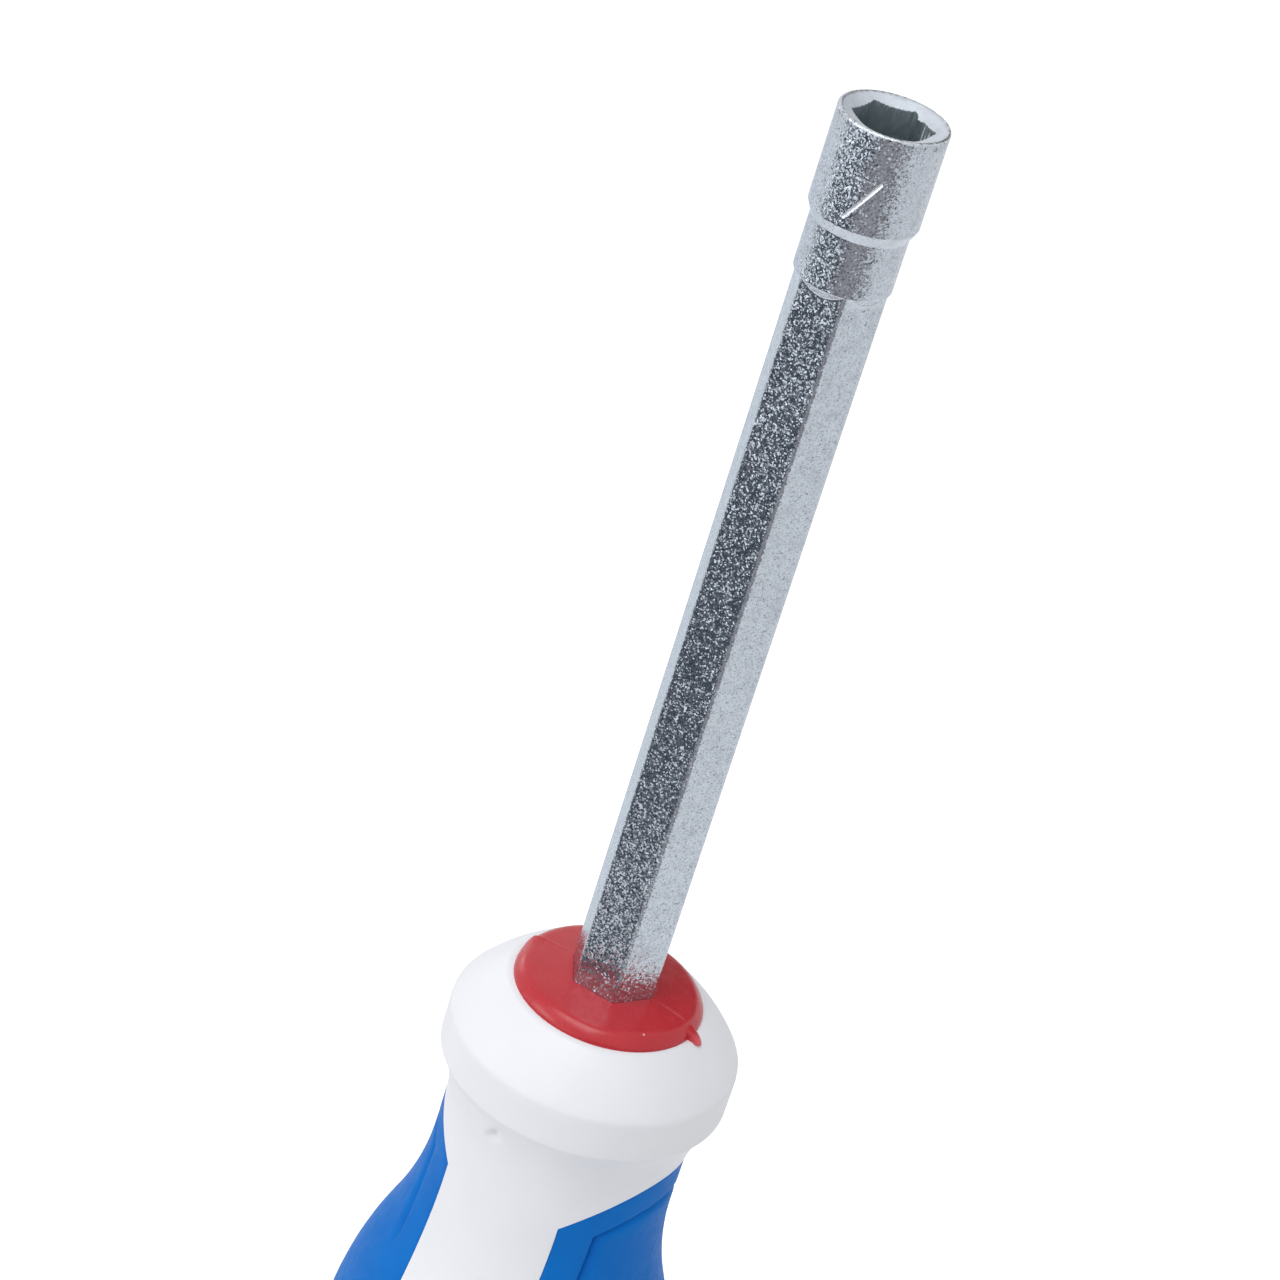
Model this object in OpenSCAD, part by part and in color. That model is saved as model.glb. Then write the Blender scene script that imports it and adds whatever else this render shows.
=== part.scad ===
// Nut driver: a forged hex blade with a socket end, held in a moulded core,
// inside a handle body with two soft grip pads let into its sides.
// It stands on its butt, +Z along the blade, and a white strip faces -Y.

/* [Socket end] */

// Nut size across flats
nut_size = 7; // [6:0.5:7.5]
// Play of the recess over the nut, across flats
nut_play = 0.04; // [0.02:0.01:0.1]
// Depth of the hex recess
recess_depth = 9; // [7:0.5:10]
// Turn of the recess against the flats of the bar
recess_turn = 23.6; // [0:0.2:60]
// Diameter of the stud bore behind the recess
stud_bore_d = 6.2; // [5:0.1:6.5]
// Length of the stud bore
stud_bore_len = 6; // [4:0.5:10]
// Outside diameter of the head
head_d = 10.75; // [10.4:0.05:11.4]
// Length of the head, to the start of its back cone
head_len = 9.8; // [9:0.1:11]
// Length of the cone from the head to the neck
head_cone_len = 1.2; // [0.8:0.1:1.6]
// Bevel round the rim of the mouth
rim_bevel = 0.25; // [0.15:0.05:0.4]
// Width of the rim between its bevel and the countersink
rim_flat = 0.1; // [0.05:0.05:0.15]
// Slope of the countersunk mouth
mouth_slope = 23; // [15:1:28]
// Diameter of the neck, and of the round on the corners of the bar
neck_d = 9.62; // [9.5:0.02:9.7]
// Length of the neck
neck_len = 5.6; // [4:0.2:7]
// Length of the slope from the neck down to the flats
neck_slope_len = 0.9; // [0.6:0.1:1.2]
// Height of the size mark
mark_h = 4.1; // [3:0.1:4.5]
// Width of the size mark
mark_w = 2.45; // [2:0.05:2.8]
// Line width of the size mark
mark_line = 0.35; // [0.25:0.05:0.5]
// Depth of the size mark
mark_depth = 0.15; // [0.1:0.05:0.2]
// Direction the size mark faces, round the head
mark_turn = -75; // [-90:1:-60]
// Top of the size mark, down from the mouth
mark_drop = 4.6; // [4:0.1:5]

/* [Bar] */

// Width of the bar across its flats
bar_flats = 8.42; // [8.3:0.02:8.5]
// Length of blade outside the handle
blade_reach = 99; // [70:1:150]
// Length of blade held inside the handle
tail_len = 76; // [60:1:90]
// Radius of the holding notches in the tail
notch_r = 2; // [1.5:0.25:3]
// Depth of the holding notches
notch_depth = 0.8; // [0.4:0.1:1.2]
// Height of the lower notches above the end of the tail
notch_low = 10; // [6:1:14]
// Distance between the lower and the upper notches
notch_step = 14; // [10:1:20]

/* [Core] */

// Height of the handle, from the butt to the top of the collar
handle_h = 113; // [104:1:124]
// Diameter of the collar
collar_d = 20.4; // [19.5:0.1:21]
// Thickness of the collar at the blade
collar_h = 1.9; // [1.7:0.1:2.4]
// Fall of the top of the collar from the blade to its crest
collar_fall = 0.4; // [0.2:0.1:0.6]
// Width of the sloping side of the collar, seen from above
collar_slope_w = 1.1; // [0.7:0.1:1.5]
// Height of the upright foot of the collar
collar_foot_h = 0.2; // [0.1:0.1:0.5]
// Rounding of the crest between the side and the top of the collar
collar_round = 0.8; // [0.4:0.1:1.2]
// Diameter of the column inside the handle
column_d = 17; // [16:0.25:17.5]
// Diameter over the ribs of the column
rib_d = 19; // [18:0.25:19.5]
// Width of each rib
rib_w = 3; // [2:0.25:4]
// Number of ribs
rib_count = 4; // [3:1:6]
// Turn of the first rib from the right side
rib_turn = 45; // [0:5:90]
// Height of the foot of the ribs above the butt
rib_low = 14; // [10:1:20]
// Height of the head of the ribs above the butt
rib_high = 96; // [80:1:97]
// Diameter of the end of the core that shows in the butt
core_end_d = 14; // [10:0.5:16]
// Depth of the end of the core inside the butt
core_end_sink = 0.6; // [0.3:0.1:1]
// Length of the narrower end of the core
core_end_len = 5; // [3:0.5:6]

/* [Handle body] */

// Diameter of the seat round the collar
seat_d = 21.2; // [21.1:0.1:22]
// Height of the dome from the seat to the flange band
dome_h = 5.2; // [4.6:0.1:5.8]
// Radius of the dome in section
dome_r = 23.5; // [16:0.5:32]
// Diameter of the flange band
band_d = 30.7; // [30:0.1:31.5]
// Height of the flange band
band_h = 4.6; // [3.6:0.1:5.6]
// Height of the hollow under the flange
under_h = 7.7; // [6:0.1:9.5]
// Diameter of the waist
waist_d = 26; // [25.6:0.1:27]
// Length of the straight waist
waist_len = 4.5; // [3:0.5:6]
// Radius of the hollow below the waist in section
flare_r = 36.3; // [30:0.1:42]
// Radius of the swell in section
swell_r = 44.8; // [38:0.2:52]
// Diameter of the swell
swell_d = 37.6; // [36:0.2:39]
// Diameter where the rounding of the butt starts
tail_d = 33.2; // [32:0.2:34]
// Rounding of the butt
butt_round = 6; // [5:0.25:7]

/* [Grip pads] */

// Width of the strip of body left between the pads
strip_w = 13.7; // [12:0.1:15]
// Thickness of the pads
pad_t = 2; // [1.6:0.1:2.2]
// Upper corner of the pads, down from the top of the collar
pad_drop = 23.3; // [22:0.1:25]
// Lower corner of the pads, up from the butt
pad_low = 17; // [15:0.5:22]
// Slope of the upper and lower edges of the pads
pad_slope = 42.5; // [38:0.5:45]
// Rounding of the corners of the pads
pad_round = 1.2; // [0.6:0.1:2]
// Border between the upright edge of the pads and the line cut in them
border_w = 3.25; // [2.5:0.05:3.6]
// Border between the sloping edge of the pads and the line
border_top_w = 2.8; // [2.2:0.1:3.4]
// Width of the line
line_w = 0.9; // [0.6:0.1:1.2]
// Depth of the line
line_depth = 0.6; // [0.3:0.1:0.9]
// Length of the upright legs of the line
line_leg = 11; // [6:0.5:20]

/* [Hidden] */

$fn = 96;
// Larger than any radius of the part, for outlines that run clear of it
big = 60;
// How far a cutter runs past the face it opens
past = 1;
// Straight steps in each rounded corner of the pads
corner_steps = 4;

recess_flats = nut_size + nut_play;
bar_corner_r = bar_flats/2/cos(30);
recess_r = recess_flats/2/cos(30);

mouth_z = handle_h + blade_reach;
head_foot_z = mouth_z - head_len;
neck_head_z = head_foot_z - head_cone_len;
neck_foot_z = neck_head_z - neck_len;
flats_z = neck_foot_z - neck_slope_len;
tail_z = handle_h - tail_len;
sink_r = head_d/2 - rim_bevel - rim_flat;

seat_z = handle_h - collar_h;
crest = [collar_d/2 - collar_slope_w, collar_h - collar_fall];
collar_side_a = atan2(crest[1] - collar_foot_h, collar_slope_w);
collar_top_a = atan2(collar_fall, crest[0] - neck_d/2);
crest_a = (collar_side_a + collar_top_a)/2;
crest_sink = collar_round/cos((collar_side_a - collar_top_a)/2);
crest_c = crest - crest_sink*[sin(crest_a), cos(crest_a)];
band_top_z = seat_z - dome_h;
band_foot_z = band_top_z - band_h;

under_step = (band_d - waist_d)/2;
under_r = (under_h*under_h + under_step*under_step)/2/abs(under_step);
waist_top_z = band_foot_z - under_h;
waist_foot_z = waist_top_z - waist_len;

flare_step = (swell_d - waist_d)/2;
flare_a = acos(1 - abs(flare_step)/(flare_r + swell_r));
turn_z = waist_foot_z - flare_r*sin(flare_a);
swell_z = turn_z - swell_r*sin(flare_a);

tail_step = (tail_d - swell_d)/2;
tail_rise = swell_z - butt_round;
tail_r = (tail_rise*tail_rise + tail_step*tail_step)/2/abs(tail_step);
// Between the two heights at which the tail meets the rounding of the butt
butt_level = butt_round*(1 + sign(tail_step)*tan(asin(tail_rise/tail_r)));

dome_mid = [(seat_d + band_d)/4, (seat_z + band_top_z)/2];
dome_run = [(band_d - seat_d)/2, band_top_z - seat_z];
dome_back = sqrt(dome_r*dome_r/(dome_run*dome_run) - 1/4);
dome_c = dome_mid + dome_back*[dome_run[1], -dome_run[0]];

pad_top_z = handle_h - pad_drop;
line_x = strip_w/2 + border_w;
line_top_z = pad_top_z + border_w*tan(pad_slope) - border_top_w/cos(pad_slope);

// Bar of the blade: hexagon with its corners turned round
module bar(low, high) {
    translate([0, 0, low])
        intersection() {
            cylinder(r = bar_corner_r, h = high - low, $fn = 6);
            cylinder(d = neck_d, h = high - low);
        }
}

// Tail of the blade with its notches: the shape that the core closes round
module tail() {
    difference() {
        bar(tail_z, handle_h);
        for (side = [-1, 1], step = [0, 1])
            translate([0, side*(bar_flats/2 - notch_depth + notch_r), tail_z + notch_low + step*notch_step])
                rotate([0, 90, 0])
                    cylinder(r = notch_r, h = big, center = true);
    }
}

// Head and neck as turned, before the recess goes in
module head() {
    rotate_extrude()
        polygon([
            [0, flats_z],
            [bar_flats/2, flats_z],
            [neck_d/2, neck_foot_z],
            [neck_d/2, neck_head_z],
            [head_d/2, head_foot_z],
            [head_d/2, mouth_z - rim_bevel],
            [head_d/2 - rim_bevel, mouth_z],
            [sink_r, mouth_z],
            [0, mouth_z - sink_r*tan(mouth_slope)]
        ]);
}

// Size mark: a bar across the top and a leaning stroke under it
module size_mark() {
    lean = atan(mark_w/mark_h);
    difference() {
        rotate([0, 0, mark_turn])
            translate([head_d/2, 0, mouth_z - mark_drop]) {
                cube([2*past, mark_w + mark_line, mark_line], center = true);
                translate([0, 0, -mark_h/2])
                    rotate([-lean, 0, 0])
                        cube([2*past, mark_line, mark_h/cos(lean)], center = true);
            }
        cylinder(d = head_d - 2*mark_depth, h = mouth_z);
    }
}

module socket_blade() {
    color([0.72, 0.74, 0.77])
        difference() {
            union() {
                tail();
                bar(handle_h, neck_foot_z);
                head();
            }
            rotate([0, 0, recess_turn])
                translate([0, 0, mouth_z - recess_depth])
                    cylinder(r = recess_r, h = recess_depth + past, $fn = 6);
            translate([0, 0, mouth_z - recess_depth - stud_bore_len])
                cylinder(d = stud_bore_d, h = stud_bore_len + past);
            size_mark();
        }
}

// Collar in section: an upright foot, a sloping side, a rounded crest and a top that rises to the blade
module collar_outline() {
    polygon([
        [0, 0],
        [collar_d/2, 0],
        [collar_d/2, collar_foot_h],
        crest_c + collar_round*[sin(collar_side_a), cos(collar_side_a)],
        crest_c + collar_round*[sin(collar_top_a), cos(collar_top_a)],
        [neck_d/2, collar_h],
        [0, collar_h]
    ]);
    intersection() {
        translate(crest_c)
            circle(r = collar_round);
        square([collar_d/2, collar_h]);
    }
}

// Outside of the core below the collar: the shape that the body closes round
module column() {
    translate([0, 0, core_end_len])
        cylinder(d = column_d, h = seat_z - core_end_len);
    translate([0, 0, core_end_sink])
        cylinder(d = core_end_d, h = core_end_len - core_end_sink + past);
    intersection() {
        translate([0, 0, rib_low])
            cylinder(d = rib_d, h = rib_high - rib_low);
        for (k = [0:rib_count - 1])
            rotate([0, 0, rib_turn + k*360/rib_count])
                translate([0, -rib_w/2, 0])
                    cube([rib_d, rib_w, handle_h]);
    }
}

module core() {
    color([0.7, 0.16, 0.19])
        difference() {
            union() {
                column();
                translate([0, 0, seat_z])
                    rotate_extrude()
                        collar_outline();
            }
            tail();
        }
}

// Stretch of the handle section between two heights
module stretch(low, high) {
    translate([0, low])
        square([big, high - low]);
}

// Stretch that is upright at the height level, with the radius r there,
// and bends out from it (side 1) or in (side -1) on an arc
module bent_stretch(low, high, level, r, side, arc_r) {
    if (side > 0)
        difference() {
            translate([0, low])
                square([r + arc_r, high - low]);
            translate([r + arc_r, level])
                circle(r = arc_r, $fn = 256);
        }
    else
        intersection() {
            stretch(low, high);
            translate([r - arc_r, level])
                circle(r = arc_r, $fn = 256);
        }
}

// Butt in section: its edge rounded, with room for the tail above
module butt_outline() {
    square([tail_d/2 - butt_round, handle_h]);
    translate([tail_d/2 - butt_round, butt_round])
        circle(r = butt_round);
    stretch(butt_level, handle_h);
}

// Flange in section: a band under a dome, hollowed out (or built up) to the waist below it
module flange_outline() {
    intersection() {
        translate(dome_c)
            circle(r = dome_r, $fn = 256);
        if (under_step > 0)
            intersection() {
                square([band_d/2, seat_z]);
                bent_stretch(waist_top_z, seat_z, waist_top_z, waist_d/2, 1, under_r);
            }
        else
            union() {
                translate([0, band_foot_z])
                    square([band_d/2, seat_z - band_foot_z]);
                bent_stretch(waist_top_z, band_foot_z, waist_top_z, waist_d/2, -1, under_r);
            }
    }
}

// Handle in section, drawn in from the outside by inset
module handle_outline(inset) {
    intersection() {
        square([big, handle_h]);
        translate([-inset, 0]) {
            intersection() {
                butt_outline();
                bent_stretch(0, swell_z, swell_z, swell_d/2, sign(tail_step), tail_r);
            }
            bent_stretch(swell_z, turn_z, swell_z, swell_d/2, -sign(flare_step), swell_r);
            bent_stretch(turn_z, waist_foot_z, waist_foot_z, waist_d/2, sign(flare_step), flare_r);
            translate([0, waist_foot_z])
                square([waist_d/2, waist_len]);
            flange_outline();
        }
    }
}

// Outside of the handle as a solid, drawn in by inset
module handle_form(inset) {
    rotate_extrude()
        handle_outline(inset);
}

// Pads and the line in them are outlines seen from the front, run through from front to back
module front_to_back() {
    rotate([90, 0, 0])
        linear_extrude(height = 2*big, center = true)
            children();
}

// Rounded corner of the pad outline, at the height z, for the upper (1) or lower (-1) corner
function pad_corner(z, up) =
    let (reach = pad_round*tan(45 - pad_slope/2))
    let (centre = [strip_w/2 + pad_round, z - up*reach])
    let (step = (90 - pad_slope)/corner_steps)
    [for (k = [0:corner_steps]) centre + pad_round*[-cos(k*step), up*sin(k*step)]];

// Outline of the right pad, seen from the front
module pad_outline() {
    upper = pad_corner(pad_top_z, 1);
    lower = pad_corner(pad_low, -1);
    upper_end = upper[corner_steps] + big*[1, tan(pad_slope)];
    lower_end = lower[corner_steps] + big*[1, -tan(pad_slope)];
    polygon(concat(
        [for (k = [corner_steps:-1:0]) lower[k]],
        upper,
        [upper_end, lower_end]
    ));
}

// Line cut into the right pad, seen from the front
module line_outline() {
    translate([line_x, line_top_z]) {
        translate([-line_w/2, -line_leg])
            square([line_w, line_leg]);
        translate([0, -line_leg])
            circle(d = line_w);
        rotate([0, 0, pad_slope])
            translate([0, -line_w/2])
                square([big, line_w]);
        circle(d = line_w);
    }
}

// Room for the right pad in the body
module pad_room() {
    difference() {
        front_to_back()
            pad_outline();
        handle_form(pad_t);
    }
}

module pad() {
    difference() {
        intersection() {
            handle_form(0);
            pad_room();
        }
        difference() {
            front_to_back()
                line_outline();
            handle_form(line_depth);
        }
    }
}

module grip_pad_right() {
    color([0.05, 0.36, 0.72])
        pad();
}

module grip_pad_left() {
    color([0.05, 0.36, 0.72])
        rotate([0, 0, 180])
            pad();
}

module handle_body() {
    color([0.93, 0.94, 0.95])
        difference() {
            handle_form(0);
            column();
            translate([0, 0, -past])
                cylinder(d = core_end_d, h = core_end_sink + 2*past);
            pad_room();
            rotate([0, 0, 180])
                pad_room();
        }
}

socket_blade();
core();
handle_body();
grip_pad_right();
grip_pad_left();
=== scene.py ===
"""Looks of a nut driver: plated steel blade, red collar, white handle body and two blue grip pads."""

import math

import bpy
import numpy as np
from mathutils import Matrix, Vector


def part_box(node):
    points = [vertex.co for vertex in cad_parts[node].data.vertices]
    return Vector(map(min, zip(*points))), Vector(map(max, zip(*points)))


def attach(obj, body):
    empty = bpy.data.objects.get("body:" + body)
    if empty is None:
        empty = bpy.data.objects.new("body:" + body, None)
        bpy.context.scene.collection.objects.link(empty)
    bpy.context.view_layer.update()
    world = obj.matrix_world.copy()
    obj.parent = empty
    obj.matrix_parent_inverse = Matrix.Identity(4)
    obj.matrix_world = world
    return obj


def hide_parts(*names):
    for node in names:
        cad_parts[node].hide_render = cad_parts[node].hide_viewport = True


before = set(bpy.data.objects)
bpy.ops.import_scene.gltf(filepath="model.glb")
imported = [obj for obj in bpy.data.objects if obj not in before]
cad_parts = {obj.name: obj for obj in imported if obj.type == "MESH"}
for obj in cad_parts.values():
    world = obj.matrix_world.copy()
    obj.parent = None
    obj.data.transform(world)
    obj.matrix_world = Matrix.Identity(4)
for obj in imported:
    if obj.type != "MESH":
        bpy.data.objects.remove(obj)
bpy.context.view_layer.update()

MM = 0.001
# Angle from the middle of a hexagon's flat to its corner
HALF_FLAT_TURN = math.pi / 6


def box_mm(node):
    """Lowest and highest corner of a node, in millimetres."""
    low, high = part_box(node)
    return [value / MM for value in low], [value / MM for value in high]


blade_low, blade_high = box_mm("socket_blade")
core_low, core_high = box_mm("core")
body_high = box_mm("handle_body")[1]
pad_box_low = box_mm("grip_pad_right")[0]

# Blade, in millimetres
MOUTH_Z = blade_high[2]
TAIL_Z = blade_low[2]
HEAD_R = 5.375
HEAD_LEN = 9.8
HEAD_CONE_LEN = 1.2
NECK_R = 4.81
NECK_LEN = 5.6
NECK_SLOPE_LEN = 0.9
BAR_HALF = 4.21
BAR_CORNER_ROUND = 0.62
RIM_ROUND = 0.22
RIM_FLAT = 0.1
MOUTH_SLOPE = math.radians(23)
RECESS_HALF = 3.52
RECESS_TURN = math.radians(23.6)
RECESS_DEPTH = 9
RECESS_ROUND = 0.12
STUD_BORE_R = 3.1
STUD_BORE_LEN = 6
MARK_TURN = math.radians(-75)
MARK_DROP = 4.6
MARK_H = 4.1
MARK_W = 2.45
MARK_HALF_LINE = 0.19
MARK_DEPTH = 0.17

# Core
COLLAR_TOP_Z = core_high[2]
COLLAR_R = core_high[0]
COLLAR_FALL = 0.4
COLLAR_SLOPE_W = 1.1
COLLAR_FOOT_H = 0.2
COLLAR_FOOT_IN = 0.15
COLLAR_SEAT_IN = 0.4
COLLAR_ROUND = 0.8
COLUMN_R = 8.5
CORE_END_R = 7
CORE_END_LEN = 5
CORE_END_EDGE = 0.3
CORE_END_Z = core_low[2]

# Handle body
SEAT_Z = body_high[2]
SEAT_R = 10.6
SEAT_LIP = 0.5
DOME_H = 5.2
DOME_R = 23.5
BAND_R = 15.35
BAND_H = 4.6
UNDER_H = 7.7
WAIST_R = 13
WAIST_LEN = 4.5
FLARE_R = 36.3
SWELL_ARC_R = 44.8
SWELL_R = 18.8
TAIL_R = 16.6
BUTT_ROUND = 6
BUTT_FLAT_IN = 0.6
BUTT_HOLE_EDGE = 0.2
DENT_TURN = math.radians(-99.8)
DENT_DROP = 14.8
DENT_NECK_R = 14
DENT_LEAN = math.radians(50)
DENT_DEPTH = 0.75
DENT_HALF_LEN = 1.0
DENT_WALL_W = 0.4
DENT_EASE_W = 1.5

# Grip pads
STRIP_HALF = pad_box_low[0]
PAD_T = 2
PAD_DROP = 23.3
PAD_TOP_Z = COLLAR_TOP_Z - PAD_DROP
PAD_LOW_Z = 17
PAD_SLOPE = math.radians(42.5)
BORDER_W = 3.25
BORDER_TOP_W = 2.8
LINE_WALL_W = 0.24
LINE_EASE_W = 0.9
LINE_DEPTH = 0.8
LINE_LEG = 11
LINE_REACH = 30
PAD_EDGE_ROUND = 0.3
SEAM_GAP = 0.03

# Heights and angles that follow from these
HEAD_FOOT_Z = MOUTH_Z - HEAD_LEN
NECK_HEAD_Z = HEAD_FOOT_Z - HEAD_CONE_LEN
NECK_FOOT_Z = NECK_HEAD_Z - NECK_LEN
FLATS_Z = NECK_FOOT_Z - NECK_SLOPE_LEN
BAND_TOP_Z = SEAT_Z - DOME_H
BAND_FOOT_Z = BAND_TOP_Z - BAND_H
UNDER_STEP = BAND_R - WAIST_R
UNDER_R = (UNDER_H**2 + UNDER_STEP**2) / 2 / UNDER_STEP
UNDER_A = math.asin(UNDER_H / UNDER_R)
WAIST_TOP_Z = BAND_FOOT_Z - UNDER_H
WAIST_FOOT_Z = WAIST_TOP_Z - WAIST_LEN
FLARE_A = math.acos(1 - (SWELL_R - WAIST_R) / (FLARE_R + SWELL_ARC_R))
TURN_Z = WAIST_FOOT_Z - FLARE_R * math.sin(FLARE_A)
SWELL_Z = TURN_Z - SWELL_ARC_R * math.sin(FLARE_A)
LINE_X = STRIP_HALF + BORDER_W
LINE_TOP_Z = PAD_TOP_Z + BORDER_W * math.tan(PAD_SLOPE) - BORDER_TOP_W / math.cos(PAD_SLOPE)


# Shared mesh code

SHARP_ANGLE = math.radians(50)
SAME_POINT = 1e-9
BELL_REACH = 1.5


def mesh_piece(name, points, faces, material, node):
    """A smooth mesh piece in the part's frame, from points in millimetres."""
    mesh = bpy.data.meshes.new(name)
    mesh.from_pydata((np.asarray(points) * MM).tolist(), [], faces)
    mesh.polygons.foreach_set("use_smooth", [True] * len(mesh.polygons))
    mesh.set_sharp_from_angle(angle=SHARP_ANGLE)
    mesh.validate()
    mesh.materials.append(material)
    piece = bpy.data.objects.new(name, mesh)
    bpy.context.scene.collection.objects.link(piece)
    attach(piece, "root")
    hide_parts(node)
    return piece


def ring_points(angles, radii, heights):
    """Points of rings round the Z axis; each argument spreads over rows and columns."""
    angles, radii, heights = np.broadcast_arrays(angles, radii, heights)
    return np.stack([radii * np.cos(angles), radii * np.sin(angles), heights], axis=-1)


def ring_faces(rows, columns, first=0, wrap=True):
    """Quads between neighbouring rows, running round all columns."""
    across = columns if wrap else columns - 1
    faces = []
    for row in range(rows - 1):
        low = first + row * columns
        high = low + columns
        for column in range(across):
            after = (column + 1) % columns
            faces.append((low + column, low + after, high + after, high + column))
    return faces


def rim_pairs(rows, columns):
    """Neighbouring points round the rim of a grid, each as a row and a column."""
    rim = [(0, column) for column in range(columns)]
    rim += [(row, columns - 1) for row in range(1, rows)]
    rim += [(rows - 1, column) for column in range(columns - 2, -1, -1)]
    rim += [(row, 0) for row in range(rows - 2, 0, -1)]
    return zip(rim, rim[1:] + rim[:1])


def skin(rings, low_pole, high_pole):
    """Closed skin over rings, shut by a fan at each end."""
    rows, columns = rings.shape[:2]
    points = np.concatenate([rings.reshape(-1, 3), [low_pole, high_pole]])
    faces = ring_faces(rows, columns)
    low, high = rows * columns, rows * columns + 1
    last = (rows - 1) * columns
    for column in range(columns):
        after = (column + 1) % columns
        faces.append((low, after, column))
        faces.append((high, last + column, last + after))
    return points, faces


def arc(centre, radius, start, stop, steps):
    """Points on an arc in section, from one angle to another in degrees."""
    angle = np.radians(np.linspace(start, stop, steps))
    return np.stack([centre[0] + radius * np.cos(angle), centre[1] + radius * np.sin(angle)], axis=1)


def even(outline, spacing):
    """The same outline with points at an even spacing."""
    outline = np.asarray(outline, float)
    step = np.hypot(*np.diff(outline, axis=0).T)
    keep = np.concatenate([[True], step > SAME_POINT])
    outline = outline[keep]
    run = np.concatenate([[0], np.cumsum(np.hypot(*np.diff(outline, axis=0).T))])
    places = np.linspace(0, run[-1], max(2, round(run[-1] / spacing) + 1))
    return np.stack([np.interp(places, run, outline[:, k]) for k in range(2)], axis=1)


def soften(outline, spacing, width):
    """The outline with its creases rounded over about that width by a bell curve, ends kept."""
    outline = even(outline, spacing)
    reach = max(1, round(BELL_REACH * width / spacing))
    offsets = np.arange(-reach, reach + 1) * spacing
    weights = np.exp(-0.5 * (offsets / (width / 2)) ** 2)
    weights /= weights.sum()
    ahead = 2 * outline[0] - outline[reach:0:-1]
    behind = 2 * outline[-1] - outline[-2:-reach - 2:-1]
    padded = np.concatenate([ahead, outline, behind])
    return np.stack([np.convolve(padded[:, k], weights, "valid") for k in range(2)], axis=1)


def hexagon(angles, half, corner_round):
    """Radius of a hexagon with rounded corners and a flat square to -Y, at each angle."""
    from_flat = np.abs((angles + np.pi) % (2 * HALF_FLAT_TURN) - HALF_FLAT_TURN)
    corner = (half - corner_round) / math.cos(HALF_FLAT_TURN)
    to_corner = HALF_FLAT_TURN - from_flat
    inside = np.maximum(corner_round**2 - (corner * np.sin(to_corner)) ** 2, 0)
    rounded = corner * np.cos(to_corner) + np.sqrt(inside)
    flat = half / np.cos(from_flat)
    round_end_aside = corner_round * math.sin(HALF_FLAT_TURN)
    round_end_out = corner + corner_round * math.cos(HALF_FLAT_TURN)
    in_round = to_corner < math.atan2(round_end_aside, round_end_out)
    return np.where(in_round, rounded, flat)


def soft_step(distance, width):
    """One at zero distance, falling smoothly to nothing at the width."""
    t = np.clip(1 - np.abs(distance) / width, 0, 1)
    return t * t * (3 - 2 * t)


def edge_drop(distance, radius):
    """How far a rounded edge falls away, at a distance from the edge."""
    inside = np.clip(radius - distance, 0, radius)
    return radius - np.sqrt(np.maximum(radius**2 - inside**2, 0))


def to_segment(x, y, start, stop):
    """Distance of points to a straight line between two points."""
    run = np.array([stop[0] - start[0], stop[1] - start[1]])
    along = ((x - start[0]) * run[0] + (y - start[1]) * run[1]) / (run @ run)
    along = np.clip(along, 0, 1)
    return np.hypot(x - start[0] - along * run[0], y - start[1] - along * run[1])


def turn_from(angles, middle):
    """Angle from a middle angle to each angle, the short way round."""
    return (angles - middle + np.pi) % (2 * np.pi) - np.pi


# Steel blade

MARK_COLUMNS = 130
PLAIN_COLUMNS = 380
MARK_SPAN = math.radians(36)
MARK_STEP = 0.06
MARK_EDGE = 2.2
MARK_BAR_SHARE = 0.22
# Share of the near-white highlight painted on the mark's bar
MARK_BAR_PAINTED_SHINE = 0.4
MARK_WORN_FROM = 0.2
MARK_WORN_MOST = 0.5
SHANK_ROWS = 8
SHANK_BELOW_COLLAR = 2
SHANK_BELOW_FLATS = 0.3
TURNED_START_IN = 0.1
TURNED_START_DROP = 0.15
NECK_BLEND_H = 0.3
NECK_BLEND_W = 0.05
NECK_ROWS_H = 0.4
CREASE_W = 0.13
BEND_KEPT = 0.0008
STRAIGHT_STEP = 8
CONE_SLOPE = 0.2
CONE_GRAIN = 0.5
# Share of near-white highlight painted on the cones
CONE_PAINTED_SHINE = 0.08
CORNER_GRAIN = 0.8
CORNER_TURN = math.radians(4.6)
CORNER_RAMP = 3
RIM_STEPS = 12
# Share of near-white highlight painted on the rim's crest
RIM_PAINTED_SHINE = 0.18
RIM_GRAIN = 0.7
MOUTH_GRAIN = 0.3
# Share of near-white highlight painted on the countersunk mouth
MOUTH_PAINTED_SHINE = 0.25
LIP_ROUND = 0.35
LIP_WAVER = 0.06
LIP_SEED = 7
LIP_WAVES = range(5, 110, 4)
LIP_EDGE_H = 0.04
LIP_FADE = 6
FLAP_TURN = math.radians(71)
FLAP_SPAN = math.radians(13)
FLAP_W = 0.32
# Angle, half width, depth below the mouth and thickness of each sliver
BURRS = ((33, 1.9, 3.0, 0.20), (38, 1.7, 2.2, 0.15), (46, 1.9, 2.7, 0.20), (54, 1.7, 1.9, 0.15))
BURR_HALF_H = 1.5
# Sliver thickness at which its painted highlight is full, and the most of that highlight
BURR_BRIGHT_T = 0.06
BURR_PAINTED_SHINE = 0.8
# Where the rows lie, as shares of the way in, down the recess, over the ledge and down the bore
MOUTH_SHARES = np.array([0.2, 0.45, 0.7, 0.88, 1])[:, None]
RECESS_SHARES = np.concatenate([[0.012], np.linspace(0, 0.5, 21)[1:], [0.6, 0.75, 0.9, 1]])[:, None]
LEDGE_SHARES = np.array([0.5, 1])[:, None]
BORE_SHARES = np.array([0.05, 0.5, 1])[:, None]


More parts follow.
